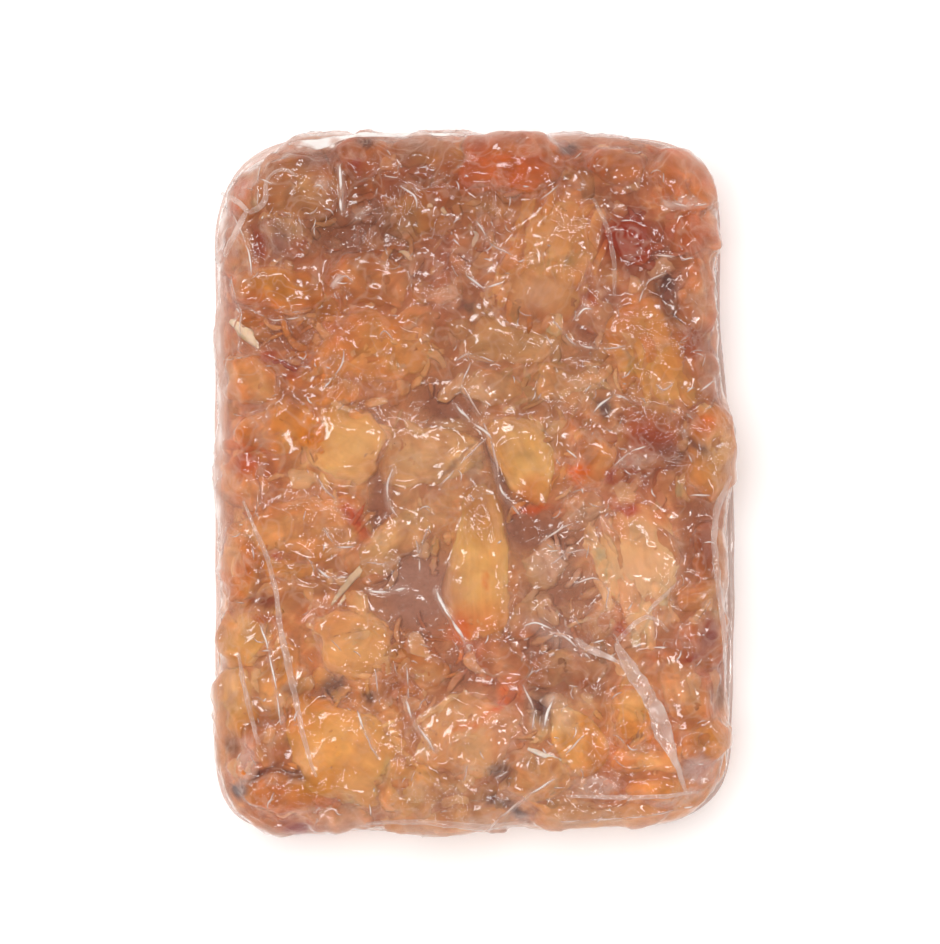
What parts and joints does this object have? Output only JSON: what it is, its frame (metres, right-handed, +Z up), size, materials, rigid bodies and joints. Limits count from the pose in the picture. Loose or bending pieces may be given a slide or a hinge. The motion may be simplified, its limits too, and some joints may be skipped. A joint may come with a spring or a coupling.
{
  "type": "vacuum-packed crab meat",
  "caption": "Flat slab of cooked, picked crab meat, claw and leg pieces set in frozen juice under a skin-tight clear film pouch.",
  "frame": {"origin": "middle of the underside that the pack lies on", "axes": "+Z up out of the face that shows, +Y along the pack's long side, +X across it"},
  "size_m": [0.1182, 0.1576, 0.0289],
  "materials": {
    "film_over_meat": "skin-tight clear film over orange-tan crab meat, wet gloss",
    "clear_film": "thin clear wrinkled plastic film, glossy",
    "crab_meat": "cooked crab meat, cream to orange with red skin, wet",
    "frozen_juice": "cloudy mauve-brown frozen juice"
  },
  "bodies": {
    "root": {"crab_meat_pack": "film_over_meat"}
  },
  "joints": []
}
